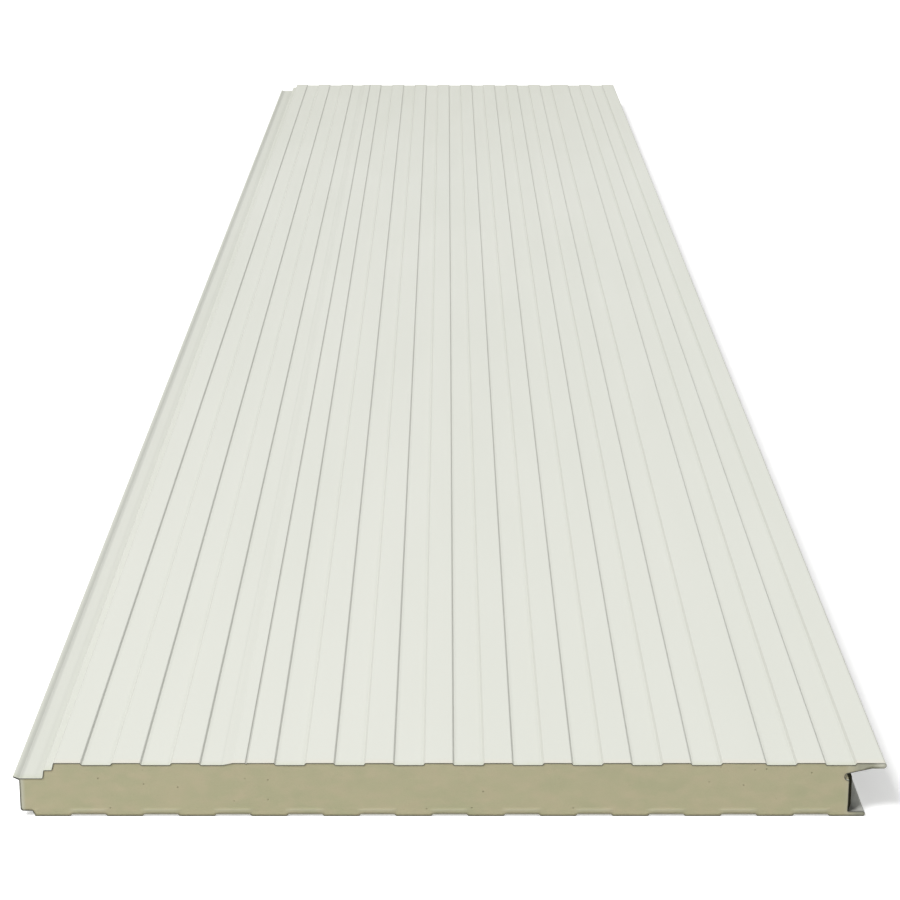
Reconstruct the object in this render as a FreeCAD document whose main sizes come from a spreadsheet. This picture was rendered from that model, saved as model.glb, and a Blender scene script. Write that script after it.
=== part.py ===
# Insulated wall panel with hidden joints, lying flat: two roll-formed steel facings with a rigid
# foam core between them.  X runs across the width, Y along the length and Z up through the
# thickness.  The origin is on the floor under the middle of the overall box.  Millimetres.
#
# The left edge carries a low ledge with a hemmed lip.  The right edge is a nose over a joint groove
# with a flange below it.  On a wall the nose of one panel covers the ledge of the next, the lip
# enters the notch at the top of the groove, and the flange slides into the rebate under the ledge.
import FreeCAD
import Part
import Sketcher
import os
import re
from math import radians

SIZES = {
    # the whole panel
    "cover_width": 1150,
    "panel_length": 6000,
    "panel_height": 80,
    "outer_gauge": 0.6,
    "inner_gauge": 0.5,
    # ribs of the outer facing
    "first_crown": 37,
    "rib_pitch": 82,
    "rib_valley": 39.3,
    "rib_slope": 2.25,
    "rib_depth": 3,
    "wide_extra": 21,
    "ramp_valley": 30.3,
    "ramp_slope": 14,
    "seam_place": 18,
    "seam_slope": 1.3,
    "seam_depth": 1.5,
    "least_nose_crown": 30,
    # ribs of the inner facing
    "base_pitch": 100,
    "base_flat": 48,
    "base_slope": 3,
    "base_rise": 2.7,
    "least_last_flat": 40,
    # ledge edge, on the left
    "crown_lean": 2.6,
    "step_drop": 10.7,
    "step_flat": 11.3,
    "step_lean": 1.8,
    "ledge_drop": 23,
    "ledge_width": 32.2,
    "lip_overhang": 8.8,
    "lip_rise": 2.2,
    "lip_hem_gap": 0.5,
    "lip_wedge": 2.6,
    "outer_return": 9,
    "rebate_height": 8.1,
    "rebate_width": 16.4,
    "rebate_lean": 3.8,
    "corner_round": 4,
    "inner_return": 9,
    # groove edge, on the right
    "reveal": 2,
    "joint_room": 5,
    "over_step_gap": 2.2,
    "hem_flat": 16,
    "notch_round": 5,
    "notch_spare": 2.2,
    "flange_side_gap": 1,
    "flange_top_gap": 1,
    "groove_return": 9,
    # edge films and seal
    "film_gauge": 0.5,
    "bulb_gap": 0.3,
    "seal_shank": 40,
    "seal_foot": 0.6,
    "seal_lift": 1,
}
WIDE_CROWN_FIRST = 4
WIDE_CROWN_EVERY = 8

# Places worked out from the sizes.  Each is an expression for a sketch or a placement.
OVERALL = "(cover_width - reveal + crown_lean + step_flat + step_lean + ledge_width + lip_overhang)"
TONGUE_WALL = f"(lip_overhang - {OVERALL} / 2)"
LEDGE_TOP = "(panel_height - ledge_drop)"
LIP_ROUND = "(outer_gauge + lip_hem_gap / 2)"
LIP_HEIGHT = f"({LEDGE_TOP} + lip_rise)"
RIB_CROWN = "(rib_pitch - rib_valley - 2 * rib_slope)"
RAMP_CROWN = "(rib_pitch + wide_extra - rib_slope - ramp_valley - ramp_slope)"
NOSE_TIP = f"({OVERALL} / 2)"
NOSE_ROUND = "((step_drop - over_step_gap) / 2)"
GROOVE_WALL = f"({TONGUE_WALL} + cover_width - joint_room)"
NOTCH_DEPTH = "(lip_overhang - joint_room + notch_spare)"
NOTCH_CENTRE = f"({GROOVE_WALL} - {NOTCH_DEPTH} + notch_round)"
FLANGE_TIP = f"({TONGUE_WALL} + rebate_width + rebate_lean + cover_width - flange_side_gap)"
FLANGE_HEIGHT = "(rebate_height - flange_top_gap)"
BASE_BAY = "(base_pitch - base_flat - 2 * base_slope)"

doc = FreeCAD.newDocument("wall_panel")
sheet = doc.addObject("Spreadsheet::Sheet", "Sizes")
for row, (name, value) in enumerate(SIZES.items(), start=1):
    sheet.set(f"A{row}", name)
    sheet.set(f"B{row}", str(value))
    sheet.setAlias(f"B{row}", name)
doc.recompute()


def bound(expression):
    """The expression with each size written as a reference to its cell."""
    return re.sub(r"[a-z_]{5,}", lambda word: "Sizes." + word[0], expression)


reading = doc.addObject("App::FeaturePython", "Reading")
reading.addProperty("App::PropertyFloat", "Amount")


def worth(expression):
    """The number that an expression comes to, read off a property bound to it."""
    reading.setExpression("Amount", bound(expression))
    reading.recompute()
    return float(reading.Amount)


class Outline:
    """Lines and arcs drawn end to end in a sketch, each dimensioned by the sizes."""

    def __init__(self, sketch):
        self.sketch = sketch
        self.tip = None
        self.x = 0.0
        self.z = 0.0

    def size(self, kind, *places, by):
        """Add a dimension and bind it to an expression."""
        at = self.sketch.addConstraint(Sketcher.Constraint(kind, *places, worth(by)))
        self.sketch.setExpression(f"Constraints[{at}]", bound(by))

    def keep(self, kind, *places):
        self.sketch.addConstraint(Sketcher.Constraint(kind, *places))

    def start(self, x, z):
        """Where the next run of lines begins, measured from the origin."""
        self.tip = None
        self.first = (x, z)
        self.x = worth(x)
        self.z = worth(z)

    def join(self, piece):
        """Hook the new piece's first point to the end of the run."""
        if self.tip is None:
            self.size("DistanceX", -1, 1, piece, 1, by=self.first[0])
            self.size("DistanceY", -1, 1, piece, 1, by=self.first[1])
        else:
            self.keep("Coincident", *self.tip, piece, 1)

    def draw(self, x, z):
        """Draw a line to a point and return its number, with only its first end tied."""
        here = FreeCAD.Vector(self.x, self.z, 0)
        there = FreeCAD.Vector(x, z, 0)
        piece = self.sketch.addGeometry(Part.LineSegment(here, there))
        self.join(piece)
        self.tip = (piece, 2)
        self.x = x
        self.z = z
        return piece

    def line(self, across, up):
        """A line by how far it goes across and up."""
        piece = self.draw(self.x + worth(across), self.z + worth(up))
        if up == "0":
            self.keep("Horizontal", piece)
        else:
            self.size("DistanceY", piece, 1, piece, 2, by=up)
        if across == "0":
            self.keep("Vertical", piece)
        else:
            self.size("DistanceX", piece, 1, piece, 2, by=across)

    def level_to(self, x):
        """A level line to a place measured from the origin."""
        piece = self.draw(worth(x), self.z)
        self.keep("Horizontal", piece)
        self.size("DistanceX", -1, 1, piece, 2, by=x)

    def arc(self, centre, radius, low, high, clockwise):
        """Draw an arc between two angles, tied to nothing, and return it with its two ends."""
        middle = FreeCAD.Vector(*centre, 0)
        circle = Part.Circle(middle, FreeCAD.Vector(0, 0, 1), radius)
        piece = self.sketch.addGeometry(Part.ArcOfCircle(circle, radians(low), radians(high)))
        near, far = (2, 1) if clockwise else (1, 2)
        self.tip = (piece, far)
        return piece, near, far

    def go_to(self, x, z):
        """A line to a place measured from the origin."""
        piece = self.draw(worth(x), worth(z))
        self.size("DistanceX", -1, 1, piece, 2, by=x)
        self.size("DistanceY", -1, 1, piece, 2, by=z)

    def close(self, piece, end):
        """A line back to an end that is already in place."""
        spot = self.sketch.getPoint(piece, end)
        last = self.draw(spot.x, spot.y)
        self.keep("Coincident", last, 2, piece, end)

    def half_round(self, radius, clockwise):
        """Turn back through a half circle that bulges to the right."""
        r = worth(radius)
        way = -1 if clockwise else 1
        last = self.tip
        piece, near, far = self.arc((self.x, self.z + way * r), r, -90, 90, clockwise)
        self.keep("Coincident", *last, piece, near)
        self.keep("Vertical", piece, near, piece, 3)
        self.keep("Vertical", piece, far, piece, 3)
        self.size("Radius", piece, by=radius)
        self.z += 2 * way * r

    def corner(self, radius):
        """Turn from going down to going right through a quarter circle."""
        r = worth(radius)
        last = self.tip
        piece, near, far = self.arc((self.x + r, self.z), r, 180, 270, False)
        self.keep("Coincident", *last, piece, near)
        self.keep("Horizontal", piece, near, piece, 3)
        self.keep("Vertical", piece, far, piece, 3)
        self.size("Radius", piece, by=radius)
        self.x += r
        self.z -= r

    def lip(self, radius, centre_x, centre_z, end_x, end_z):
        """Out along a line, round a small arc about a given centre and back along a line."""
        x = worth(centre_x)
        z = worth(centre_z)
        r = worth(radius)
        under = self.draw(x, z - r)
        piece, near, far = self.arc((x, z), r, 110, 250, True)
        self.size("Radius", piece, by=radius)
        self.size("DistanceX", -1, 1, piece, 3, by=centre_x)
        self.size("DistanceY", -1, 1, piece, 3, by=centre_z)
        self.keep("Tangent", under, 2, piece, near)
        here = FreeCAD.Vector(x, z + r, 0)
        there = FreeCAD.Vector(worth(end_x), worth(end_z), 0)
        over = self.sketch.addGeometry(Part.LineSegment(here, there))
        self.keep("Tangent", piece, far, over, 1)
        self.size("DistanceX", -1, 1, over, 2, by=end_x)
        self.size("DistanceY", -1, 1, over, 2, by=end_z)
        self.tip = (over, 2)
        self.x = worth(end_x)
        self.z = worth(end_z)

    def bulb(self, radius, centre_x, centre_z):
        """Straight up to a circle about a given centre, then round it to its right-hand side."""
        x = worth(centre_x)
        z = worth(centre_z)
        r = worth(radius)
        wall = self.draw(self.x, z - r)
        self.keep("Vertical", wall)
        piece, near, far = self.arc((x, z), r, 0, 280, True)
        self.size("Radius", piece, by=radius)
        self.size("DistanceX", -1, 1, piece, 3, by=centre_x)
        self.size("DistanceY", -1, 1, piece, 3, by=centre_z)
        self.keep("Coincident", wall, 2, piece, near)
        self.keep("Horizontal", piece, far, piece, 3)
        self.x = x + r
        self.z = z

    def notch(self, radius, centre_x, centre_z):
        """Down a slope that runs smoothly into an arc about a given centre, to the arc's foot."""
        x = worth(centre_x)
        z = worth(centre_z)
        r = worth(radius)
        slope = self.draw(x, z + r)
        piece, near, far = self.arc((x, z), r, 100, 270, False)
        self.size("Radius", piece, by=radius)
        self.size("DistanceX", -1, 1, piece, 3, by=centre_x)
        self.size("DistanceY", -1, 1, piece, 3, by=centre_z)
        self.keep("Tangent", slope, 2, piece, near)
        self.keep("Vertical", piece, far, piece, 3)
        self.x = x
        self.z = z - r


def top_run(outline):
    """The outer facing's visible side, from the ledge to the foot of the notch."""
    outline.line("ledge_width", "0")
    outline.line("step_lean", "ledge_drop - step_drop")
    outline.line("step_flat", "0")
    outline.line("crown_lean", "step_drop")
    outline.line("first_crown", "0")
    crown = 1
    bay = worth("rib_valley + 2 * rib_slope")
    while True:
        crown += 1
        wide = crown % WIDE_CROWN_EVERY == WIDE_CROWN_FIRST % WIDE_CROWN_EVERY
        step = worth("rib_pitch + wide_extra" if wide else "rib_pitch")
        if outline.x + step + bay + worth("least_nose_crown") > worth(NOSE_TIP):
            break
        outline.line("rib_slope", "-rib_depth")
        if crown == WIDE_CROWN_FIRST:
            outline.line("ramp_valley", "0")
            outline.line("ramp_slope", "rib_depth")
            outline.line("seam_place - seam_slope", "0")
            outline.line("seam_slope", "-seam_depth")
            outline.line("seam_slope", "seam_depth")
            outline.line(f"{RAMP_CROWN} - seam_place - seam_slope", "0")
            continue
        outline.line("rib_valley", "0")
        outline.line("rib_slope", "rib_depth")
        outline.line(f"{RIB_CROWN} + wide_extra" if wide else RIB_CROWN, "0")
    outline.line("rib_slope", "-rib_depth")
    outline.line("rib_valley", "0")
    outline.line("rib_slope", "rib_depth")
    outline.level_to(f"{NOSE_TIP} - {NOSE_ROUND}")
    outline.half_round(NOSE_ROUND, True)
    outline.line("-hem_flat", "0")
    outline.notch("notch_round", NOTCH_CENTRE, LIP_HEIGHT)
    outline.level_to(GROOVE_WALL)


def base_run(outline):
    """The inner facing's visible side, from the rounded corner to the groove wall."""
    outline.corner("corner_round")
    outline.line("rebate_width - corner_round", "0")
    outline.line("rebate_lean", "-rebate_height")
    while outline.x + worth("base_pitch + least_last_flat") < worth(FLANGE_TIP):
        outline.line("base_flat", "0")
        outline.line("base_slope", "base_rise")
        outline.line(BASE_BAY, "0")
        outline.line("base_slope", "-base_rise")
    outline.level_to(f"{FLANGE_TIP} - {FLANGE_HEIGHT} / 2")
    outline.half_round(f"{FLANGE_HEIGHT} / 2", False)
    outline.level_to(GROOVE_WALL)


def draw_outer(outline):
    """The whole of the outer facing's visible side, with the lip and the return under it."""
    outline.start(TONGUE_WALL, f"{LEDGE_TOP} - lip_wedge - outer_return")
    outline.line("0", "outer_return")
    outline.lip(LIP_ROUND, f"{LIP_ROUND} - {NOSE_TIP}", LIP_HEIGHT, TONGUE_WALL, LEDGE_TOP)
    top_run(outline)


def draw_inner(outline):
    """The whole of the inner facing's visible side, with a return up each side of the core."""
    outline.start(TONGUE_WALL, "rebate_height + corner_round + inner_return")
    outline.line("0", "-inner_return")
    base_run(outline)
    outline.line("0", "groove_return")


def draw_block(outline):
    """Everything between the two facings' visible sides, short of the lip."""
    outline.start(TONGUE_WALL, LEDGE_TOP)
    outline.line("0", f"rebate_height + corner_round - {LEDGE_TOP}")
    base_run(outline)
    base_end = outline.tip
    outline.start(TONGUE_WALL, LEDGE_TOP)
    outline.tip = (0, 1)
    top_run(outline)
    outline.close(*base_end)


def draw_seal(outline):
    """A bulb in the notch on a straight shank down the groove wall, thinned at its foot."""
    foot = f"({FLANGE_HEIGHT} + seal_lift)"
    outline.start(GROOVE_WALL, foot)
    outline.bulb("notch_round - bulb_gap", NOTCH_CENTRE, LIP_HEIGHT)
    outline.line("0", "-seal_shank")
    outline.go_to(f"{GROOVE_WALL} + seal_foot", foot)
    outline.close(0, 1)


def facing(label, draw, gauge):
    """A roll-formed sheet: its visible side drawn as a line, thickened inwards and run lengthwise."""
    sketch = doc.addObject("Sketcher::SketchObject", label + "_line")
    sketch.Placement = FreeCAD.Placement(FreeCAD.Vector(), FreeCAD.Rotation(FreeCAD.Vector(1, 0, 0), 90))
    draw(Outline(sketch))
    doc.recompute()
    section = doc.addObject("Part::Offset2D", label + "_section")
    section.Source = sketch
    section.Mode = "Skin"
    section.Join = "Intersection"
    section.Fill = True
    section.setExpression("Value", bound(gauge))
    solid = doc.addObject("Part::Extrusion", label + "_sheet")
    solid.Base = section
    solid.DirMode = "Custom"
    solid.Dir = FreeCAD.Vector(0, 1, 0)
    solid.Symmetric = True
    solid.Solid = True
    solid.setExpression("LengthFwd", bound("panel_length"))
    solid.Label = label
    return solid


def run_length(label, draw):
    """A body padded along the panel's whole length from a closed outline."""
    body = doc.addObject("PartDesign::Body", label + "_body")
    plane = next(item for item in body.Origin.OriginFeatures if item.Role == "XZ_Plane")
    sketch = body.newObject("Sketcher::SketchObject", label + "_outline")
    sketch.AttachmentSupport = (plane, [""])
    sketch.MapMode = "FlatFace"
    draw(Outline(sketch))
    doc.recompute()
    pad = body.newObject("PartDesign::Pad", label + "_pad")
    pad.Profile = sketch
    pad.Midplane = True
    pad.setExpression("Length", bound("panel_length"))
    body.Label = label
    return body


def edge_film(label, left, foot, top):
    """A flat strip of lining let into the core's side between the two facings' returns."""
    film = doc.addObject("Part::Box", label + "_strip")
    film.setExpression("Length", bound("film_gauge"))
    film.setExpression("Width", bound("panel_length"))
    film.setExpression("Height", bound(f"{top} - {foot}"))
    film.setExpression("Placement.Base.x", bound(left))
    film.setExpression("Placement.Base.y", bound("-panel_length / 2"))
    film.setExpression("Placement.Base.z", bound(foot))
    film.Label = label
    return film


outer_facing = facing("outer_facing", draw_outer, "-outer_gauge")
inner_facing = facing("inner_facing", draw_inner, "inner_gauge")
tongue_film = edge_film(
    "tongue_edge_film",
    TONGUE_WALL,
    "(rebate_height + corner_round + inner_return)",
    f"({LEDGE_TOP} - lip_wedge - outer_return)",
)
groove_film = edge_film(
    "groove_edge_film",
    f"{GROOVE_WALL} - film_gauge",
    f"({FLANGE_HEIGHT} + groove_return)",
    f"({LIP_HEIGHT} - notch_round - outer_gauge)",
)
joint_seal = run_length("joint_seal", draw_seal)

# The foam fills all that the facings and films leave of the block between them.
block = run_length("foam_block", draw_block)
skins = doc.addObject("Part::MultiFuse", "skins")
skins.Shapes = [outer_facing, inner_facing, tongue_film, groove_film]
foam_core = doc.addObject("Part::Cut", "foam_core_cut")
foam_core.Base = block
foam_core.Tool = skins
foam_core.Label = "foam_core"
doc.recompute()

pieces = [outer_facing, inner_facing, foam_core, tongue_film, groove_film, joint_seal]
for item in doc.Objects:
    if "Invalid" in item.State or "Error" in item.State:
        raise RuntimeError(f"{item.Label} failed: {item.State}")
for piece in pieces:
    shape = piece.Shape
    if shape.isNull() or not shape.isValid() or len(shape.Solids) != 1:
        raise RuntimeError(f"{piece.Label} isn't one sound solid")

os.makedirs("parts", exist_ok=True)
for piece in pieces:
    piece.Shape.exportStep(f"parts/{piece.Label}.step")
    box = piece.Shape.BoundBox
    print(f"{piece.Label}: {piece.Shape.Volume / 1e6:.3f} litres, {len(piece.Shape.Faces)} faces,",
          f"x {box.XMin:.2f} to {box.XMax:.2f}, z {box.ZMin:.2f} to {box.ZMax:.2f}")
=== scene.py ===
import bpy
import bmesh
import math
from mathutils import Euler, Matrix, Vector, noise


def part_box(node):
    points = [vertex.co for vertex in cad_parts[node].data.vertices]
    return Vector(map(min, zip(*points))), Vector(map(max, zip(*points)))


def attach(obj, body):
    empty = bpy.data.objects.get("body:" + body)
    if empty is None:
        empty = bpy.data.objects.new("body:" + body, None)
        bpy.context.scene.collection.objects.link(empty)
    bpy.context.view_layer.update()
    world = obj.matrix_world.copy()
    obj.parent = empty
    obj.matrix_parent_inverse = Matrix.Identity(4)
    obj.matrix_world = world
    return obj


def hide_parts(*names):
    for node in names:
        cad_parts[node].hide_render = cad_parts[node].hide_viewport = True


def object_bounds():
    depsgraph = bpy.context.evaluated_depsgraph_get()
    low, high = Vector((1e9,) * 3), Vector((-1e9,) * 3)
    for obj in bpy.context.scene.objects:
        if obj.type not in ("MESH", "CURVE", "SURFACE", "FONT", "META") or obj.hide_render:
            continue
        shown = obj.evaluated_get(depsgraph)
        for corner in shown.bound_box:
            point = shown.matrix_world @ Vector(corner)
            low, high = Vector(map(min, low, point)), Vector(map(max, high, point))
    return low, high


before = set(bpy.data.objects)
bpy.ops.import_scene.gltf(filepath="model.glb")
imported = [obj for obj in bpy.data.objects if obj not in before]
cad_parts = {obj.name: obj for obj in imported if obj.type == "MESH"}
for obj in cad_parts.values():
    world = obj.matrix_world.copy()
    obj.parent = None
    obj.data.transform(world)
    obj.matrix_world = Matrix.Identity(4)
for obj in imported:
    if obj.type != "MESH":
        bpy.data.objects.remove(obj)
cad_low, cad_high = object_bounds()


# ---- Foam core -------------------------------------------------------------------------------
# One block of rigid closed-cell foam, poured between the moving facings and cut to length with
# them.  It shows at the two ends, where the saw leaves it a little behind the steel, with a soft
# roll over each raised bay of the lower facing, a painted highlight along each roll and a paler
# band, a painted edge highlight, where it met the edge films.

SAME_PLACE = 0.00001            # points nearer than this are one place
DIGITS = 6                      # a section's points are kept to the micrometre


def sides_of(outline):
    """The two ends of each side of a section."""
    return zip(outline, outline[1:] + outline[:1])


def end_outline(node):
    """A node's section as one loop of points (x, z), read at its near cut end."""
    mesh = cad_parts[node].data
    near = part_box(node)[0].y
    edges = set()
    for face in mesh.polygons:
        corners = [mesh.vertices[v].co for v in face.vertices]
        if all(abs(corner.y - near) < SAME_PLACE for corner in corners):
            spots = [(round(corner.x, DIGITS), round(corner.z, DIGITS)) for corner in corners]
            for here, there in sides_of(spots):
                if (there, here) in edges:
                    edges.remove((there, here))
                else:
                    edges.add((here, there))
    follow = dict(edges)
    loop = [min(follow)]
    while follow[loop[-1]] != loop[0]:
        loop.append(follow[loop[-1]])
    return loop


def lowest_at(outline, x):
    """How low the section reaches at one place across the width."""
    heights = []
    for (x0, z0), (x1, z1) in sides_of(outline):
        if min(x0, x1) <= x <= max(x0, x1) and x0 != x1:
            heights.append(z0 + (z1 - z0) * (x - x0) / (x1 - x0))
    return min(heights, default=0.0)


BAY_FLOOR = 0.0032              # the core's underside over a raised bay
FLAT_FLOOR = 0.0005             # and over a flat
SNAP = 0.0002                   # a cut that passes this near to a point goes through it
FOAM_SET_BACK = 0.0010          # how far the saw and the foam's own shrinkage leave it behind
LEAST_SET_BACK = 0.00005        # the cut never stands past the steel
FOAM_WAVE = 0.00022             # broad unevenness of the cut, and its fine tearing
FOAM_TEAR = 0.00008
WAVE_ACROSS = 38                # roughly how many waves to the metre, across and up, and tears
WAVE_UP = 60
TEAR_GRAIN = 260
FOAM_ROLL = 0.0009              # how far the roll over a raised bay stands out again
ROLL_BROW = 0.0057              # height of the roll's edge above the bay
ROLL_TOP = 0.0096               # and of the place where it has died out
ROLL_HIGHLIGHT_FROM = 0.3            # share of the roll at which its painted highlight starts
ROLL_LEFT_END = 0.02            # the rebate beside the tongue wall has no roll
FOAM_TUCK = 0.0007              # how far the foam draws back where it meets the lower facing
TUCK_HEIGHT = 0.0030
FLOOR_SPREAD = (-0.003, -0.001, 0.001, 0.003)   # places that soften the step at a bay's side
FOAM_COLUMN = 0.0040            # the grid's spacing: across, in the low rows and in the others
FOAM_LOW_ROW = 0.0010
FOAM_ROW = 0.0025
FOAM_LOW_BAND = 0.0145          # how high the low rows reach

foam_outline = end_outline("foam_core")
foam_low, foam_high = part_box("foam_core")
groove_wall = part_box("groove_edge_film")[1].x
tongue_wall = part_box("tongue_edge_film")[0].x


def foam_end(seed):
    """The cut face as a fine grid: each vertex has how far it lies behind the steel's end."""
    grid = bmesh.new()
    roll_highlight_layer = grid.verts.layers.float.new("roll")
    grid.faces.new([grid.verts.new((x, 0.0, z)) for x, z in foam_outline])
    heights = []
    z = foam_low.z + FOAM_LOW_ROW
    while z < foam_high.z:
        heights.append(z)
        z += FOAM_LOW_ROW if z < FOAM_LOW_BAND else FOAM_ROW
    columns = int((foam_high.x - foam_low.x) / FOAM_COLUMN)
    across = [foam_low.x + FOAM_COLUMN * (step + 0.5) for step in range(columns)]
    planes = [((0, 0, z), (0, 0, 1)) for z in heights] + [((x, 0, 0), (1, 0, 0)) for x in across]
    for place, normal in planes:
        everything = grid.verts[:] + grid.edges[:] + grid.faces[:]
        bmesh.ops.bisect_plane(grid, geom=everything, dist=SNAP, plane_co=place, plane_no=normal)
    floors = {}
    for vertex in grid.verts:
        x, z = vertex.co.x, vertex.co.z
        column = round(x, 4)
        if column not in floors:
            around = [lowest_at(foam_outline, column + aside) for aside in FLOOR_SPREAD]
            floors[column] = (lowest_at(foam_outline, column), sum(around) / len(around))
        floor, mean_floor = floors[column]
        back = FOAM_SET_BACK
        back -= FOAM_WAVE * noise.noise(Vector((x * WAVE_ACROSS, seed, z * WAVE_UP)))
        back -= FOAM_TEAR * noise.noise(Vector((x * TEAR_GRAIN, seed + 5, z * TEAR_GRAIN)))
        if tongue_wall + ROLL_LEFT_END < x < groove_wall:
            raised = min(max((mean_floor - FLAT_FLOOR) / (BAY_FLOOR - FLAT_FLOOR), 0), 1)
            height = z - BAY_FLOOR
            if height > ROLL_BROW:
                out = min(max((ROLL_TOP - height) / (ROLL_TOP - ROLL_BROW), 0), 1)
                out = out * out * (3 - 2 * out)
            else:
                out = max(height, 0) / ROLL_BROW
            back -= FOAM_ROLL * raised * out
            # a painted highlight on the roll, where it stands out most
            vertex[roll_highlight_layer] = raised * max(out - ROLL_HIGHLIGHT_FROM, 0) / (1 - ROLL_HIGHLIGHT_FROM)
        tuck = min(max(1 - (z - floor) / TUCK_HEIGHT, 0), 1)
        back += FOAM_TUCK * tuck * tuck
        vertex.co.y = max(back, LEAST_SET_BACK)
    return grid


def mesh_of(name, shape):
    """The finished mesh of a shape made in edit form."""
    mesh = bpy.data.meshes.new(name)
    shape.to_mesh(mesh)
    shape.free()
    return mesh


def foam_block():
    """The core between its two cut faces."""
    block = bmesh.new()
    roll_highlight_layer = block.verts.layers.float.new("roll")
    rims = []
    for end, seed in ((cad_low.y, 1.0), (cad_high.y, 2.0)):
        inward = 1 if end < 0 else -1
        grid = foam_end(seed)
        made = {v: block.verts.new((v.co.x, end + inward * v.co.y, v.co.z)) for v in grid.verts}
        grid_roll_highlight = grid.verts.layers.float["roll"]
        for vertex, copy in made.items():
            copy[roll_highlight_layer] = vertex[grid_roll_highlight]
        for face in grid.faces:
            block.faces.new([made[v] for v in face.verts])
        rims.append([tuple(made[v] for v in edge.verts) for edge in grid.edges if edge.is_boundary])
        grid.free()
    for (near_a, near_b), (far_a, far_b) in zip(*rims):
        block.faces.new((near_a, near_b, far_b, far_a))
    bmesh.ops.recalc_face_normals(block, faces=block.faces)
    return mesh_of("foam_block", block)


def piece_of(name, mesh, *materials):
    """An object of the scene from a mesh, riding on the panel."""
    piece = bpy.data.objects.new(name, mesh)
    bpy.context.scene.collection.objects.link(piece)
    for material in materials:
        mesh.materials.append(material)
    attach(piece, "root")
    return piece


def new_finish(name):
    """A bare material with its principled shader."""
    material = bpy.data.materials.new(name)
    material.use_nodes = True
    return material, material.node_tree.nodes["Principled BSDF"]


def add(material, kind, settings=None, **inputs):
    """A shader node with its settings made and its inputs set or linked."""
    made = material.node_tree.nodes.new(kind)
    for name, value in (settings or {}).items():
        setattr(made, name, value)
    for name, value in inputs.items():
        feed(material, value, made.inputs[name.replace("_", " ")])
    return made


def feed(material, value, socket):
    """Set a socket to a value, or link another node's output to it."""
    if isinstance(value, bpy.types.NodeSocket):
        material.node_tree.links.new(value, socket)
    else:
        socket.default_value = value


def mixed(material, factor, first, second, blend="MIX"):
    """Two colours mixed by a factor."""
    made = material.node_tree.nodes.new("ShaderNodeMix")
    made.data_type = "RGBA"
    made.blend_type = blend
    for value, place in ((factor, 0), (first, 6), (second, 7)):
        feed(material, value, made.inputs[place])
    return made.outputs[2]


def ranged(material, value, low, high, to_low=0.0, to_high=1.0):
    """A value stretched from one range to another and held inside it."""
    limits = {"From_Min": low, "From_Max": high, "To_Min": to_low, "To_Max": to_high}
    return add(material, "ShaderNodeMapRange", Value=value, **limits).outputs[0]


def noisy(material, place, scale, detail=2.0):
    """Soft procedural noise at a place in the panel's own frame."""
    made = add(material, "ShaderNodeTexNoise", Vector=place, Scale=scale, Detail=detail)
    return made.outputs["Fac"]


def maths(material, operation, *values):
    """The outcome of one operation on one or two values."""
    made = add(material, "ShaderNodeMath", {"operation": operation})
    for value, socket in zip(values, made.inputs):
        feed(material, value, socket)
    return made.outputs[0]


def stretched(material, place, scale):
    """A place scaled differently along each axis."""
    made = add(material, "ShaderNodeMapping", Vector=place)
    made.inputs["Scale"].default_value = scale
    return made.outputs[0]


def own_place(material):
    """The place in the panel's own frame, in metres."""
    return add(material, "ShaderNodeTexCoord").outputs["Object"]


FOAM_KHAKI = (0.475, 0.447, 0.288, 1)
FOAM_GREENER = (0.440, 0.430, 0.272, 1)
FOAM_WARMER = (0.500, 0.452, 0.300, 1)
FOAM_PAINTED_HIGHLIGHT = (0.530, 0.525, 0.415, 1)
FOAM_PALE_TIP = (0.655, 0.650, 0.545, 1)
FOAM_GREY_EDGE = (0.360, 0.360, 0.285, 1)
FOAM_PINHOLE = (0.270, 0.255, 0.155, 1)
TONGUE_EDGE_HIGHLIGHT = (0.003, 0.008)    # the painted edge highlight's full depth from the tongue wall, and where it ends
GROOVE_EDGE_HIGHLIGHT = 0.006             # its depth at the groove wall, where it is fainter
NOSE_GREY = (0.002, 0.014)      # from the groove wall, where the grey starts and is full
NOSE_PALE = (0.018, 0.006)      # from the foam's tip in the nose, where the pale starts and is full


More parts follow.
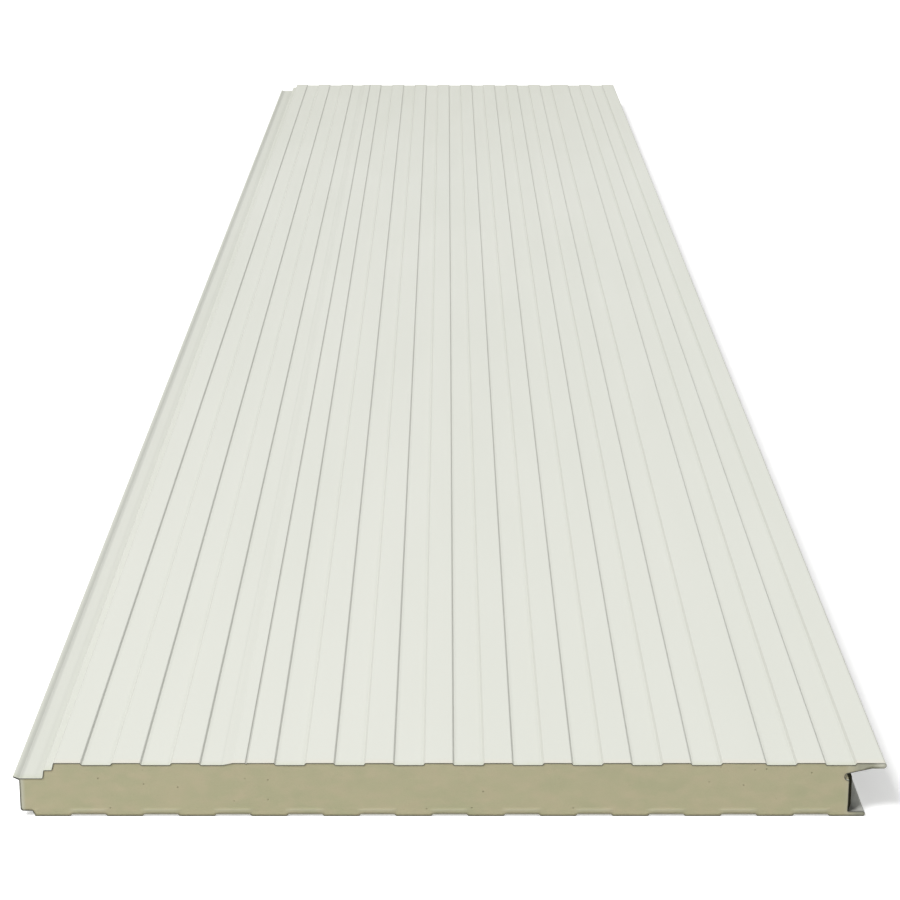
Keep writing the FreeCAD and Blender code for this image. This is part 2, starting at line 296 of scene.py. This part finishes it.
def foam_finish():
    """Cut foam: soft clouds of tone, fine cells, a painted edge highlight along the side walls and a
    painted highlight over each bay's roll, greyer over the nose and paler at its tip, a few pinholes.
    """
    foam, shader = new_finish("khaki_rigid_foam")
    place = own_place(foam)
    cloud = noisy(foam, stretched(foam, place, (9, 9, 22)), 1.0, 3.0)
    patch = noisy(foam, stretched(foam, place, (30, 30, 55)), 1.0, 3.0)
    grain = noisy(foam, place, 900.0)
    colour = mixed(foam, ranged(foam, cloud, 0.35, 0.65), FOAM_KHAKI, FOAM_GREENER)
    colour = mixed(foam, ranged(foam, patch, 0.42, 0.7), colour, FOAM_WARMER)
    colour = mixed(foam, ranged(foam, grain, 0.3, 0.7, 0.0, 0.12), colour, FOAM_PINHOLE)

    spot = add(foam, "ShaderNodeSeparateXYZ", Vector=place)
    across = spot.outputs["X"]
    # painted edge highlight along the side walls
    at_tongue = ranged(foam, across, tongue_wall + TONGUE_EDGE_HIGHLIGHT[0], tongue_wall + TONGUE_EDGE_HIGHLIGHT[1],
                       1.0, 0.0)
    at_groove = ranged(foam, across, groove_wall - GROOVE_EDGE_HIGHLIGHT, groove_wall, 0.0, 0.35)
    colour = mixed(foam, maths(foam, "MAXIMUM", at_tongue, at_groove), colour, FOAM_PAINTED_HIGHLIGHT)
    # painted highlight on the top of each bay's roll
    roll = add(foam, "ShaderNodeAttribute", {"attribute_name": "roll"}).outputs["Fac"]
    colour = mixed(foam, ranged(foam, roll, 0.0, 1.0, 0.0, 0.35), colour, FOAM_PAINTED_HIGHLIGHT)
    past_groove = ranged(foam, across, groove_wall + NOSE_GREY[0], groove_wall + NOSE_GREY[1],
                         0.0, 0.75)
    colour = mixed(foam, past_groove, colour, FOAM_GREY_EDGE)
    at_nose = ranged(foam, across, foam_high.x - NOSE_PALE[0], foam_high.x - NOSE_PALE[1])
    colour = mixed(foam, at_nose, colour, FOAM_PALE_TIP)

    face_place = add(foam, "ShaderNodeCombineXYZ", X=across, Y=spot.outputs["Z"]).outputs[0]
    cells = add(foam, "ShaderNodeTexVoronoi", {"voronoi_dimensions": "2D"}, Vector=face_place,
                Scale=64.0)
    width = ranged(foam, noisy(foam, place, 700.0), 0.3, 0.7, 0.020, 0.065)
    hole = ranged(foam, cells.outputs["Distance"], width, 0.095, 1.0, 0.0)
    chance = add(foam, "ShaderNodeSeparateColor", Color=cells.outputs["Color"]).outputs[0]
    pinhole = maths(foam, "MULTIPLY", hole, ranged(foam, chance, 0.925, 0.985, 0.0, 0.85))
    feed(foam, mixed(foam, pinhole, colour, FOAM_PINHOLE), shader.inputs["Base Color"])
    shader.inputs["Roughness"].default_value = 0.92
    shader.inputs["Specular IOR Level"].default_value = 0.18
    fine = add(foam, "ShaderNodeTexVoronoi", Vector=place, Scale=1300.0).outputs["Distance"]
    bump = add(foam, "ShaderNodeBump", Height=fine, Strength=0.35, Distance=0.0003)
    pits = add(foam, "ShaderNodeBump", {"invert": True}, Height=pinhole, Strength=0.8,
               Distance=0.0008, Normal=bump.outputs[0])
    feed(foam, pits.outputs[0], shader.inputs["Normal"])
    return foam


foam_core = piece_of("foam_core_block", foam_block(), foam_finish())
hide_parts("foam_core")


# ---- Inner facing ----------------------------------------------------------------------------
# The lower steel sheet, 0.5 mm, roll-formed from coated coil: broad flats that lie on the floor,
# shallow raised bays between them, a rebate and rounded corner on the left, and on the right a
# flange folded back over foam.  The coating is satin; the sawn ends are bare, dull steel, smeared
# with foam over the bays.

INNER_GAUGE = 0.0005
BEND_RADIUS = 0.0012            # inside a bend
BEND_STEPS = 4
LEAST_BEND = math.radians(11)   # a smaller turn stays sharp
LEAST_SIDE = 1.6                # and so does one beside a side shorter than this many gauges
BEND_SHARE = 0.42               # the most that one bend takes of the sides beside it
SAW_WOBBLE = 0.00025            # how far the cut wanders, always inwards
SAW_GRAIN = 90                  # and roughly how many times to the metre
BURR = 0.00045                  # how far the saw drags the cut edge over the foam
BURR_GRAIN = 160                # and roughly how many lumps that has to the metre
BURR_LENGTH = 0.0008
END_ROW = 0.004                 # the sheet has a row of points this far from each end
LONG_FLAT = 0.010               # a side at least this long and this level is a crown or a valley
LEVEL = 0.99
FOOT_SHADE_AWAY = (0.0010, 0.0025, 0.0050)   # how far from the foot of a slope, and how much painted shade is left there
FOOT_SHADE_LEFT = (0.12, 0.06, 0.0)
LEFT_SLOPE_SHADE = (0.34, 0.44) # painted shade on slopes that face left, at the panel's left and right
RIGHT_SLOPE_SHADE = (0.11, 0.04)
STEEP = 0.3                     # a side that leans this much or more has all of its slope's painted shade
SEAM_SHADE = 0.52
SEAM_HALF = 0.0019              # half the seam's width
SEAM_SPAN = (-0.285, -0.275)    # the seam's foot is the lowest point of this stretch
CLOSE_BY = (0.0003, 0.0007, 0.0011, 0.0014)     # steps by which a fold or foam is felt for
COATING, CUT_EDGE, BACK_COAT = range(3)         # the order of a sheet's materials

seam_stretch = [spot for spot in end_outline("outer_facing") if SEAM_SPAN[0] < spot[0] < SEAM_SPAN[1]]
seam_foot = min(seam_stretch, key=lambda spot: spot[1])


def corners_of(loop):
    """Each point of a section with the points before and after it."""
    return zip(loop[-1:] + loop[:-1], loop, loop[1:] + loop[:1])


def with_bends(loop, gauge):
    """The section with each sharp bend rounded; the outside of a bend is wider by the gauge."""
    rounded = []
    for before, here, after in corners_of(loop):
        corner = Vector(here)
        back = Vector(before) - corner
        on = Vector(after) - corner
        turn = math.pi - back.angle(on)
        shorter = min(back.length, on.length)
        if turn < LEAST_BEND or shorter < LEAST_SIDE * gauge:
            rounded.append(here)
            continue
        outside = on.x * back.y - on.y * back.x > 0
        radius = BEND_RADIUS + gauge if outside else BEND_RADIUS
        reach = min(radius * math.tan(turn / 2), BEND_SHARE * shorter)
        radius = reach / math.tan(turn / 2)
        inward = (back.normalized() + on.normalized()).normalized()
        middle = corner + inward * radius / math.cos(turn / 2)
        first = corner + back.normalized() * reach - middle
        last = corner + on.normalized() * reach - middle
        for step in range(BEND_STEPS + 1):
            share = step / BEND_STEPS
            spoke = first * math.sin((1 - share) * turn) + last * math.sin(share * turn)
            rounded.append(tuple(middle + spoke / math.sin(turn)))
    return rounded


def ways_out(loop):
    """At each point of a counter-clockwise section, the direction away from the steel."""
    ways = []
    for before, here, after in corners_of(loop):
        into = (Vector(here) - Vector(before)).normalized()
        out = (Vector(after) - Vector(here)).normalized()
        along = (into + out).normalized()
        ways.append(Vector((along.y, -along.x)))
    return ways


def with_painted_slope_shade(loop):
    """The section with points added beside each slope, and how much painted shade darkens the coating at
    each.
    """
    points = []
    ways = ways_out(loop)
    for step, here in enumerate(loop):
        ahead = (step + 1) % len(loop)
        start, end = Vector(here), Vector(loop[ahead])
        way = ways[step]
        at_left, at_right = RIGHT_SLOPE_SHADE if way.x > 0 else LEFT_SLOPE_SHADE
        share = (here[0] - cad_low.x) / (cad_high.x - cad_low.x)
        steep = min((way.x / STEEP) ** 2, 1) if way.y > 0 else 0
        painted_shade = steep * (at_left + (at_right - at_left) * share)
        if abs(here[0] - seam_foot[0]) < SEAM_HALF:
            painted_shade = SEAM_SHADE
        points.append((here[0], here[1], painted_shade))
        run = end - start
        if run.length < LONG_FLAT or run.x > -LEVEL * run.length:
            continue
        before, after = Vector(loop[step - 1]), Vector(loop[(ahead + 1) % len(loop)])
        first_hollow = (start - before).cross(run) < 0
        last_hollow = run.cross(after - end) < 0
        extra = []
        for away, left in zip(FOOT_SHADE_AWAY, FOOT_SHADE_LEFT):
            extra += [(away, left * first_hollow), (run.length - away, left * last_hollow)]
        for away, left in sorted(extra):
            spot = start + run.normalized() * away
            points.append((spot.x, spot.y, left))
    return points


def inside(outline, x, z):
    """Whether a place lies within a section."""
    crossings = 0
    for (x0, z0), (x1, z1) in sides_of(outline):
        if (z0 > z) != (z1 > z) and x < x0 + (x1 - x0) * (z - z0) / (z1 - z0):
            crossings += 1
    return crossings % 2 == 1


def shut_in(loop):
    """For each point of a sheet's section, whether its side faces the foam or another fold."""
    closed = []
    for (x, z), way in zip(loop, ways_out(loop)):
        near = [(x + way.x * away, z + way.y * away) for away in CLOSE_BY]
        folded = x < tongue_wall and any(inside(loop, *spot) for spot in near)
        closed.append(folded or inside(foam_outline, *near[0]))
    return closed


def run_lengthwise(strip, lines):
    """Smooth sides from each line of points to the next and a sharp-edged cut at each end: the
    sides and the cuts."""
    sides = []
    for line, next_line in zip(lines, lines[1:]):
        for step in range(len(line)):
            ahead = (step + 1) % len(line)
            side = strip.faces.new((line[step], next_line[step], next_line[ahead], line[ahead]))
            side.smooth = True
            sides.append(side)
    cuts = [strip.faces.new(lines[0]), strip.faces.new(list(reversed(lines[-1])))]
    for cut in cuts:
        for edge in cut.edges:
            edge.smooth = False
    return sides, cuts


def rolled_sheet(name, node, gauge, coating, cut_edge, back_coat):
    """A sheet run lengthwise from a node's section, with soft bends and sawn ends."""
    points = with_painted_slope_shade(with_bends(end_outline(node), gauge))
    loop = [(x, z) for x, z, painted_shade in points]
    ways = ways_out(loop)
    closed = shut_in(loop)
    low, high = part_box(node)
    rows = [(low.y, 1, BURR), (low.y + BURR_LENGTH, 0, 0), (low.y + END_ROW, 0, 0),
            (high.y - END_ROW, 0, 0), (high.y - BURR_LENGTH, 0, 0), (high.y, -1, BURR)]
    sheet = bmesh.new()
    painted_shade_layer = sheet.verts.layers.float.new("painted_shade")
    lines = []
    for y, inward, burr in rows:
        line = []
        for (x, z, painted_shade), way, shut in zip(points, ways, closed):
            wander = SAW_WOBBLE * (0.5 + 0.5 * noise.noise(Vector((x * SAW_GRAIN, y, z * SAW_GRAIN))))
            uneven = noise.noise(Vector((x * BURR_GRAIN, y, z * BURR_GRAIN)))
            drag = burr * shut * (0.8 + 0.4 * uneven)
            spot = (x + way.x * drag, y + inward * wander, z + way.y * drag)
            line.append(sheet.verts.new(spot))
            line[-1][painted_shade_layer] = painted_shade
        lines.append(line)
    sides, cuts = run_lengthwise(sheet, lines)
    for number, side in enumerate(sides):
        step = number % len(loop)
        hidden = closed[step] and closed[(step + 1) % len(loop)]
        side.material_index = BACK_COAT if hidden else COATING
    for cut in cuts:
        cut.material_index = CUT_EDGE
    piece = piece_of(name, mesh_of(name, sheet), coating, cut_edge, back_coat)
    even = piece.modifiers.new("even_shading", "WEIGHTED_NORMAL")
    even.keep_sharp = True
    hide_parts(node)
    return piece


SLOPE_SHADE_GREY = (0.45, 0.45, 0.44, 1)
FAR_END_PAINTED_SHADE = (0.935, 0.935, 0.918, 1)         # painted shade: the coating is darker towards the far end
FAR_SHADE_START = 1.2
END_LIGHT_FULL = 0.003               # the painted light along a sawn end is at its full strength this near to it
LOW_END_LIGHT_DEPTH = 0.0028               # below the crowns the painted end light has its low colour, a painted shade, near them its own, a painted highlight
HIGH_END_LIGHT_DEPTH = 0.0005


def coil_coating(name, colour, tint, dust_and_painted_end_light, painted_low_end_light, end_light_reach, gloss, light_and_shade_bands):
    """Satin coil coating: faint clouds of tone, fine orange peel, flecks of dust, painted shade on the
    rib slopes, at their feet and in the seam, painted light and shade along the sawn ends, painted shade
    towards the far end, and bands of painted light and shade across the width."""
    paint, shader = new_finish(name)
    place = own_place(paint)
    spot = add(paint, "ShaderNodeSeparateXYZ", Vector=place)
    cloud = noisy(paint, stretched(paint, place, (5.0, 0.9, 5.0)), 1.0, 3.0)
    tone = mixed(paint, ranged(paint, cloud, 0.35, 0.65), colour, tint)
    fleck = noisy(paint, place, 140.0, 3.0)
    tone = mixed(paint, ranged(paint, fleck, 0.45, 0.8, 0.0, 0.10), tone, dust_and_painted_end_light)

    # Along the sawn ends: on the outer facing a painted highlight over the crowns and painted shade
    # below them, on the inner facing painted shade.
    from_middle = maths(paint, "ABSOLUTE", spot.outputs["Y"])
    near_end = ranged(paint, from_middle, cad_high.y - end_light_reach, cad_high.y - END_LIGHT_FULL)
    ragged = ranged(paint, noisy(paint, place, 55.0), 0.25, 0.6, 0.4, 1.0)
    low = ranged(paint, spot.outputs["Z"], cad_high.z - LOW_END_LIGHT_DEPTH, cad_high.z - HIGH_END_LIGHT_DEPTH, 1.0, 0.0)
    painted_end_light = maths(paint, "MULTIPLY", near_end, ragged)
    tone = mixed(paint, painted_end_light, tone, mixed(paint, low, dust_and_painted_end_light, painted_low_end_light))

    # painted shade: darker on the rib slopes, at their feet and in the seam
    painted_shade = add(paint, "ShaderNodeAttribute", {"attribute_name": "painted_shade"}).outputs["Fac"]
    tone = mixed(paint, painted_shade, tone, SLOPE_SHADE_GREY, "MULTIPLY")
    # painted shade towards the far end
    far_shade = ranged(paint, spot.outputs["Y"], FAR_SHADE_START, cad_high.y)
    tone = mixed(paint, far_shade, tone, FAR_END_PAINTED_SHADE, "MULTIPLY")

    # bands of painted light and shade across the width
    share = ranged(paint, spot.outputs["X"], light_and_shade_bands[0][0], light_and_shade_bands[-1][0])
    bands = add(paint, "ShaderNodeValToRGB", Fac=share)
    stops = bands.color_ramp.elements
    while len(stops) < len(light_and_shade_bands):
        stops.new(0.5)
    for stop, (band, level) in zip(stops, light_and_shade_bands):
        stop.position = (band - light_and_shade_bands[0][0]) / (light_and_shade_bands[-1][0] - light_and_shade_bands[0][0])
        stop.color = (level, level, level, 1)
    tone = mixed(paint, 1.0, tone, bands.outputs[0], "MULTIPLY")
    feed(paint, tone, shader.inputs["Base Color"])

    sheen = noisy(paint, stretched(paint, place, (14.0, 2.0, 14.0)), 1.0, 3.0)
    feed(paint, ranged(paint, sheen, 0.3, 0.7, 0.50, 0.62), shader.inputs["Roughness"])
    shader.inputs["Specular IOR Level"].default_value = gloss
    peel = add(paint, "ShaderNodeBump", Height=noisy(paint, place, 420.0), Strength=0.10,
               Distance=0.0004)
    ripple = noisy(paint, stretched(paint, place, (11.0, 2.6, 11.0)), 1.0, 1.0)
    wave = add(paint, "ShaderNodeBump", Height=ripple, Strength=0.20, Distance=0.004,
               Normal=peel.outputs[0])
    feed(paint, wave.outputs[0], shader.inputs["Normal"])
    return paint


STEEL_DARK = (0.045, 0.045, 0.038, 1)
STEEL_SCORED = (0.110, 0.110, 0.092, 1)
STEEL_NOSE_HIGHLIGHT = (0.330, 0.330, 0.290, 1)
STEEL_LIP_SHADE = (0.025, 0.025, 0.026, 1)
FOAM_SMEAR = (0.600, 0.580, 0.465, 1)
NOSE_LIT = (0.024, 0.006)       # from the nose's tip, where its painted highlight starts and is full
LIP_SHADE = 0.002                # left of the tongue wall, where the lip's painted shade is full
SMEAR_UNDER = (0.0010, 0.0005)  # the smear starts between these depths under the foam's bay floor
SMEAR_OVER = (0.0002, 0.0007)   # and ends between these heights over it


def sawn_steel():
    """Bare steel as the saw leaves it: dull, dark, finely scored, with foam smeared over the bays, a
    painted highlight at the nose and painted shade at the lip.
    """
    steel, shader = new_finish("sawn_steel_edge")
    place = own_place(steel)
    scored = noisy(steel, stretched(steel, place, (900.0, 60.0, 240.0)), 1.0)
    colour = mixed(steel, scored, STEEL_DARK, STEEL_SCORED)
    spot = add(steel, "ShaderNodeSeparateXYZ", Vector=place)
    across, up = spot.outputs["X"], spot.outputs["Z"]
    # painted highlight on the cut edge at the nose, painted shade at the lip
    nose = ranged(steel, across, cad_high.x - NOSE_LIT[0], cad_high.x - NOSE_LIT[1])
    colour = mixed(steel, nose, colour, STEEL_NOSE_HIGHLIGHT)
    lip = ranged(steel, across, tongue_wall - LIP_SHADE, tongue_wall, 1.0, 0.0)
    colour = mixed(steel, lip, colour, STEEL_LIP_SHADE)
    above_flats = ranged(steel, up, BAY_FLOOR - SMEAR_UNDER[0], BAY_FLOOR - SMEAR_UNDER[1])
    below_slopes = ranged(steel, up, BAY_FLOOR + SMEAR_OVER[0], BAY_FLOOR + SMEAR_OVER[1], 1.0, 0.0)
    colour = mixed(steel, maths(steel, "MULTIPLY", above_flats, below_slopes), colour, FOAM_SMEAR)
    feed(steel, colour, shader.inputs["Base Color"])
    feed(steel, ranged(steel, scored, 0.3, 0.7, 0.45, 0.65), shader.inputs["Roughness"])
    shader.inputs["Metallic"].default_value = 0.3
    bump = add(steel, "ShaderNodeBump", Height=scored, Strength=0.3, Distance=0.0001)
    feed(steel, bump.outputs[0], shader.inputs["Normal"])
    return steel


PRIMER = (0.130, 0.125, 0.095, 1)
PRIMER_STAIN = (0.210, 0.200, 0.145, 1)


def back_coat_finish():
    """The thin primer on the foam side of each sheet, with foam still clinging to it."""
    primer, shader = new_finish("foam_stained_primer")
    stain = noisy(primer, own_place(primer), 220.0, 3.0)
    colour = mixed(primer, ranged(primer, stain, 0.35, 0.65), PRIMER, PRIMER_STAIN)
    feed(primer, colour, shader.inputs["Base Color"])
    feed(primer, ranged(primer, stain, 0.3, 0.7, 0.7, 0.85), shader.inputs["Roughness"])
    bump = add(primer, "ShaderNodeBump", Height=stain, Strength=0.5, Distance=0.0003)
    feed(primer, bump.outputs[0], shader.inputs["Normal"])
    return primer


INNER_GREY_WHITE = (0.770, 0.778, 0.735, 1)
INNER_CLOUD = (0.745, 0.755, 0.712, 1)
# Flecks of soil, and painted shade along the sawn ends.
INNER_SOIL_AND_END_SHADE = (0.345, 0.345, 0.315, 1)
INNER_END_SHADE_REACH = 0.035        # from a sawn end
INNER_GLOSS = 0.03
# Places across the width and the share of the coating's tone there: painted shade darkens the flange at
# its root, under the nose.
FLANGE_PAINTED_SHADE = ((tongue_wall, 1.0), (groove_wall - 0.001, 1.0), (groove_wall, 0.26),
                (groove_wall + 0.006, 0.56), (groove_wall + 0.010, 0.82),
                (groove_wall + 0.016, 0.95))

cut_steel = sawn_steel()
primed_back = back_coat_finish()
inner_coating = coil_coating("inner_facing_coating", INNER_GREY_WHITE, INNER_CLOUD, INNER_SOIL_AND_END_SHADE,
                             INNER_SOIL_AND_END_SHADE, INNER_END_SHADE_REACH, INNER_GLOSS, FLANGE_PAINTED_SHADE)
inner_facing = rolled_sheet("inner_facing_sheet", "inner_facing", INNER_GAUGE, inner_coating,
                            cut_steel, primed_back)


# ---- Outer facing ----------------------------------------------------------------------------
# The upper steel sheet, 0.6 mm, roll-formed the same way: a hemmed lip, ledge and step on the left
# for the hidden joint, flat-topped ribs across the cover width, two of them wider, and a hemmed
# nose on the right that turns back under itself and ends in the half-round notch.

OUTER_GAUGE = 0.0006
OUTER_OFF_WHITE = (0.800, 0.812, 0.742, 1)
OUTER_CLOUD = (0.785, 0.800, 0.728, 1)
# Cream flecks of dust; along the sawn ends the cream is a painted highlight over the crowns and the
# green a painted shade below them.
CREAM_DUST_AND_END_HIGHLIGHT = (0.822, 0.795, 0.700, 1)
GREEN_END_SHADE = (0.750, 0.770, 0.650, 1)
OUTER_END_HIGHLIGHT_REACH = 0.016        # from a sawn end
OUTER_GLOSS = 0.18
# Distances from the lip's tip and the share of the coating's tone there: painted light and shade over
# the lip's hem, the ledge, the step and their creases.
LEDGE_PAINTED_LIGHT_AND_SHADE = ((0.0, 1.0), (0.0015, 1.12), (0.0035, 1.03), (0.0055, 0.90), (0.0080, 0.84),
               (0.0105, 0.80), (0.0133, 0.86), (0.0150, 0.93), (0.0250, 0.935), (0.0280, 0.91),
               (0.0300, 0.875), (0.0390, 0.885), (0.0410, 0.94), (0.0430, 1.0), (0.0465, 0.955),
               (0.0515, 0.93), (0.0535, 0.915), (0.0553, 1.0), (0.0575, 0.97), (0.0600, 1.0))

lip_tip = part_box("outer_facing")[0].x
ledge_light_and_shade = [(lip_tip + away, level) for away, level in LEDGE_PAINTED_LIGHT_AND_SHADE]
outer_coating = coil_coating("outer_facing_coating", OUTER_OFF_WHITE, OUTER_CLOUD, CREAM_DUST_AND_END_HIGHLIGHT,
                             GREEN_END_SHADE, OUTER_END_HIGHLIGHT_REACH, OUTER_GLOSS, ledge_light_and_shade)
outer_facing = rolled_sheet("outer_facing_sheet", "outer_facing", OUTER_GAUGE, outer_coating,
                            cut_steel, primed_back)


# ---- Edge films ------------------------------------------------------------------------------
# Strips of foil-faced paper that kept the rising foam in at the two sides.  They lie flush
# between the returns of the facings, dull grey, lightly creased where the foam pushed on them.

FILM_DULL = (0.360, 0.360, 0.330, 1)
FILM_BRIGHT = (0.480, 0.480, 0.450, 1)
FILM_CUT = (0.110, 0.105, 0.085, 1)
FILM_CUT_DEPTH = (0.0008, 0.0003)       # from the sawn end, where the dark of the cut starts and is full


def film_finish():
    """Dull foil with long soft creases, dark where it is cut across."""
    film, shader = new_finish("foil_faced_paper")
    place = own_place(film)
    crease = noisy(film, stretched(film, place, (60.0, 14.0, 60.0)), 1.0, 4.0)
    colour = mixed(film, ranged(film, crease, 0.3, 0.7), FILM_DULL, FILM_BRIGHT)
    from_middle = maths(film, "ABSOLUTE", add(film, "ShaderNodeSeparateXYZ", Vector=place).outputs["Y"])
    at_cut = ranged(film, from_middle, cad_high.y - FILM_CUT_DEPTH[0], cad_high.y - FILM_CUT_DEPTH[1])
    feed(film, mixed(film, at_cut, colour, FILM_CUT), shader.inputs["Base Color"])
    feed(film, ranged(film, crease, 0.3, 0.7, 0.38, 0.55), shader.inputs["Roughness"])
    shader.inputs["Metallic"].default_value = 0.45
    bump = add(film, "ShaderNodeBump", Height=crease, Strength=0.5, Distance=0.0012)
    feed(film, bump.outputs[0], shader.inputs["Normal"])
    return film


edge_lining = film_finish()
for film_node in ("tongue_edge_film", "groove_edge_film"):
    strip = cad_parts[film_node]
    strip.data.materials.clear()
    strip.data.materials.append(edge_lining)


# ---- Joint seal ------------------------------------------------------------------------------
# Black foamed rubber, stuck down the groove wall: its bulb fills most of the notch, over foam that
# crept in behind it, and its straight shank thins out above the flange.

PLUG_HEAD = 124                 # bearings, in degrees, between which crept foam fills the bulb's place
PLUG_FOOT = 281.5
BULB_MARGIN = 1.05              # points nearer than this many of its radii are on the bulb
CREPT_SET_BACK = 0.0026         # how far that foam lies behind the sawn ends
RUBBER_BLACK = (0.009, 0.009, 0.003, 1)
RUBBER_DUSTY = (0.016, 0.015, 0.008, 1)

seal_outline = end_outline("joint_seal")
seal_low, seal_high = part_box("joint_seal")
bulb_round = (seal_high.x - seal_low.x) / 2
bulb_middle = (seal_low.x + bulb_round, seal_high.z - bulb_round)


def behind_bulb(spot):
    """Whether a point of the seal's outline is on the part of the bulb that crept foam takes up."""
    x, z = spot[0] - bulb_middle[0], spot[1] - bulb_middle[1]
    bearing = math.degrees(math.atan2(z, x)) % 360
    return PLUG_HEAD < bearing < PLUG_FOOT and math.hypot(x, z) < BULB_MARGIN * bulb_round


def long_strip(name, loop, low_y, high_y, material):
    """A strip run lengthwise between two square cuts."""
    strip = bmesh.new()
    lines = [[strip.verts.new((x, y, z)) for x, z in loop] for y in (low_y, high_y)]
    run_lengthwise(strip, lines)
    return piece_of(name, mesh_of(name, strip), material)


def seal_finish():
    """Matt black skin with a little dust, and fine lines from the die."""
    rubber, shader = new_finish("black_foamed_rubber")
    place = own_place(rubber)
    dusty = noisy(rubber, place, 45.0, 4.0)
    colour = mixed(rubber, ranged(rubber, dusty, 0.4, 0.75), RUBBER_BLACK, RUBBER_DUSTY)
    feed(rubber, colour, shader.inputs["Base Color"])
    feed(rubber, ranged(rubber, dusty, 0.3, 0.7, 0.78, 0.92), shader.inputs["Roughness"])
    shader.inputs["Specular IOR Level"].default_value = 0.1
    lines = noisy(rubber, stretched(rubber, place, (1500.0, 3.0, 1500.0)), 1.0, 1.0)
    bump = add(rubber, "ShaderNodeBump", Height=lines, Strength=0.4, Distance=0.0002)
    cells = add(rubber, "ShaderNodeTexVoronoi", Vector=place, Scale=1600.0).outputs["Distance"]
    pores = add(rubber, "ShaderNodeBump", Height=cells, Strength=0.3, Distance=0.0002,
                Normal=bump.outputs[0])
    feed(rubber, pores.outputs[0], shader.inputs["Normal"])
    return rubber


first_gone = next(step for step, spot in enumerate(seal_outline)
                  if behind_bulb(spot) and not behind_bulb(seal_outline[step - 1]))
turned = seal_outline[first_gone:] + seal_outline[:first_gone]
plug_points = [spot for spot in turned if behind_bulb(spot)]
seal_points = [spot for spot in turned if not behind_bulb(spot)]
joint_seal = long_strip("joint_seal_strip", seal_points, seal_low.y, seal_high.y, seal_finish())
crept_outline = [seal_points[-1]] + plug_points + [seal_points[0]]
crept_foam = long_strip("foam_behind_seal", crept_outline, seal_low.y + CREPT_SET_BACK,
                        seal_high.y - CREPT_SET_BACK, foam_core.data.materials[0])
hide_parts("joint_seal")


# ---- Floor, light and camera -----------------------------------------------------------------
# A plain white studio: one wide floor, an even sky, a soft sun from the near left and, on the same
# side, a broad lamp in front of the near end.

FLOOR_HALF = 60.0
FLOOR_TONE = (0.80, 0.80, 0.80, 1)
FLOOR_GLOW = 0.36               # only where the floor is seen or mirrored: it adds no soft light
WHITE = (1, 1, 1, 1)
SKY_LEVEL = 0.37                # as soft light; where the sky is seen or mirrored it is white
SUN_FROM = (-0.42, -0.42, 0.80)
BROAD_LAMP_PLACE = (-3.6, -5.6, 3.4)
CAMERA_PLACE = (-0.00444, -6.2259, 1.51832)
CAMERA_DIP = math.radians(17.0241)              # below the horizon
CAMERA_TURN = math.radians(-0.0875)             # away from the panel's length
CAMERA_ROLL = math.radians(0.0334)

floor_mesh = bpy.data.meshes.new("studio_floor")
floor_corners = [(-FLOOR_HALF, -FLOOR_HALF, 0), (FLOOR_HALF, -FLOOR_HALF, 0),
                 (FLOOR_HALF, FLOOR_HALF, 0), (-FLOOR_HALF, FLOOR_HALF, 0)]
floor_mesh.from_pydata(floor_corners, [], [(0, 1, 2, 3)])
floor = bpy.data.objects.new("studio_floor", floor_mesh)
scene = bpy.context.scene
scene.collection.objects.link(floor)
floor_paint, floor_shader = new_finish("studio_floor_paint")


def shown_white(tree):
    """1 for a ray that shows the background itself: seen, mirrored or through glass."""
    ray = tree.nodes.new("ShaderNodeLightPath")
    level = ray.outputs["Is Camera Ray"]
    for kind in ("Is Glossy Ray", "Is Transmission Ray"):
        either = tree.nodes.new("ShaderNodeMath")
        either.operation = "MAXIMUM"
        tree.links.new(level, either.inputs[0])
        tree.links.new(ray.outputs[kind], either.inputs[1])
        level = either.outputs[0]
    return level


seen = shown_white(floor_paint.node_tree)
feed(floor_paint, mixed(floor_paint, seen, FLOOR_TONE, WHITE), floor_shader.inputs["Base Color"])
glow = ranged(floor_paint, seen, 0.0, 1.0, 0.0, FLOOR_GLOW)
feed(floor_paint, glow, floor_shader.inputs["Emission Strength"])
floor_shader.inputs["Emission Color"].default_value = WHITE
floor_shader.inputs["Roughness"].default_value = 1.0
floor_shader.inputs["Specular IOR Level"].default_value = 0.0
floor_mesh.materials.append(floor_paint)

sky = bpy.data.worlds.new("studio_sky")
sky.use_nodes = True
scene.world = sky
sky_light = sky.node_tree.nodes["Background"]
sky_light.inputs["Color"].default_value = WHITE
sky_level = ranged(sky, shown_white(sky.node_tree), 0.0, 1.0, SKY_LEVEL, 1.0)
feed(sky, sky_level, sky_light.inputs["Strength"])

sun = bpy.data.lights.new("studio_sun", "SUN")
sun.energy = 1.955
sun.angle = math.radians(18)
sun_lamp = bpy.data.objects.new("studio_sun", sun)
sun_lamp.rotation_euler = Vector(SUN_FROM).to_track_quat("Z", "Y").to_euler()
scene.collection.objects.link(sun_lamp)

broad = bpy.data.lights.new("studio_broad_lamp", "AREA")
broad.energy = 62
broad.size = 2.5
broad_lamp = bpy.data.objects.new("studio_broad_lamp", broad)
broad_lamp.location = BROAD_LAMP_PLACE
near_middle = Vector((0, cad_low.y, cad_high.z))
broad_lamp.rotation_euler = (broad_lamp.location - near_middle).to_track_quat("Z", "Y").to_euler()
scene.collection.objects.link(broad_lamp)

camera = bpy.data.cameras.new("studio_camera")
camera.lens = 101.893
camera.sensor_width = 36
camera.clip_end = 200
camera_stand = bpy.data.objects.new("studio_camera", camera)
camera_stand.location = CAMERA_PLACE
aim = Euler((math.pi / 2 - CAMERA_DIP, 0, CAMERA_TURN)).to_matrix()
roll = Euler((0, 0, CAMERA_ROLL)).to_matrix()
camera_stand.rotation_euler = (aim @ roll).to_euler()
scene.collection.objects.link(camera_stand)
scene.camera = camera_stand
scene.view_settings.view_transform = "Standard"
